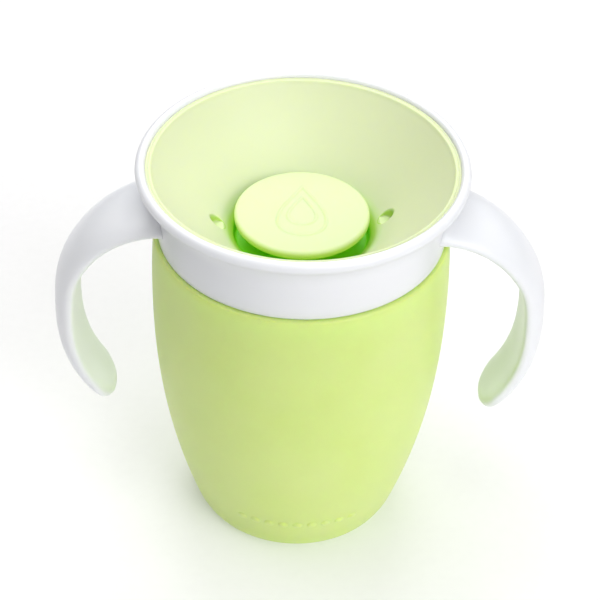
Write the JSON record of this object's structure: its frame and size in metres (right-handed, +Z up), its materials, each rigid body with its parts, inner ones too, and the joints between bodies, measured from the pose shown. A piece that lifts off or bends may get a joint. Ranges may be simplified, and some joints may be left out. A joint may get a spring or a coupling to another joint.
{
  "type": "sippy cup",
  "caption": "Spoutless trainer sippy cup: tapered tumbler, screw collar with flared drinking rim and open side handles, soft dish valve with a centre button.",
  "frame": {"origin": "centre of the foot, on the surface the cup stands on", "axes": "+Z up along the cup's axis, the two handles along +X and -X, the row of raised dots facing -Y"},
  "size_m": [0.1274, 0.082, 0.1093],
  "materials": {
    "green_pp": "satin moulded polypropylene, slightly translucent green",
    "white_pp": "smooth white polypropylene",
    "pale_silicone": "satin pale green silicone",
    "clear_silicone": "translucent silicone"
  },
  "bodies": {
    "cup": {"cup_body": "green_pp"},
    "seal": {"seal_ring": "clear_silicone"},
    "lid": {"lid_collar": "white_pp", "left_handle": "white_pp", "right_handle": "white_pp"},
    "valve": {"valve_seat": "white_pp", "valve_dish": "pale_silicone"},
    "button": {"centre_button": "pale_silicone", "stem_cap": "white_pp"}
  },
  "joints": [
    {"name": "lid_rise", "type": "slide", "parent": "cup", "child": "seal", "axis": [0, 0, 1], "range_m": [0, 0.012]},
    {"name": "lid_turn", "type": "hinge", "parent": "seal", "child": "lid", "pos_m": [0, 0, 0.09], "axis": [0, 0, 1], "range_deg": [0, 360]},
    {"name": "valve_lift", "type": "slide", "parent": "lid", "child": "valve", "axis": [0, 0, 1], "range_m": [0, 0.045]},
    {"name": "button_press", "type": "slide", "parent": "valve", "child": "button", "axis": [0, 0, -1], "range_m": [0, 0.0025], "stiffness_N_per_m": 1500}
  ],
  "couplings": [
    {"joint": "lid_rise", "follows": "lid_turn", "m_per_rad": 0.0019099}
  ]
}
